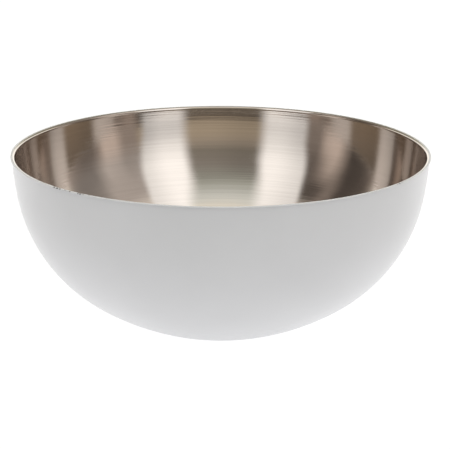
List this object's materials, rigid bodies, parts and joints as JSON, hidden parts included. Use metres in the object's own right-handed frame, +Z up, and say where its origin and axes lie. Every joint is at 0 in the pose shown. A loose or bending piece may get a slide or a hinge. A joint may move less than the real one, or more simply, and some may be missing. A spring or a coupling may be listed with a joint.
{
  "type": "shaving bowl",
  "caption": "Open round bowl for working up shaving lather, with a brushed steel inside, a white coated outer shell, a sealed air gap and a small flat base.",
  "frame": {"origin": "on the bowl's axis, in the plane the bowl stands on", "axes": "+Z up along the axis toward the open mouth, X and Y in the standing plane, round about Z so front and sides are alike"},
  "size_m": [0.12, 0.12, 0.0514],
  "materials": {
    "brushed_steel": "turned brushing around the axis, half gloss",
    "shell_steel": "as drawn, dull",
    "white_coat": "matte white powder coat",
    "sealant": "matte",
    "disc_steel": "spun rings, satin"
  },
  "bodies": {
    "root": {"inner_bowl": "brushed_steel", "outer_bowl": "shell_steel", "powder_coat": "white_coat", "rim_seal": "sealant", "base_disc": "disc_steel", "base_seal": "sealant"}
  },
  "joints": []
}
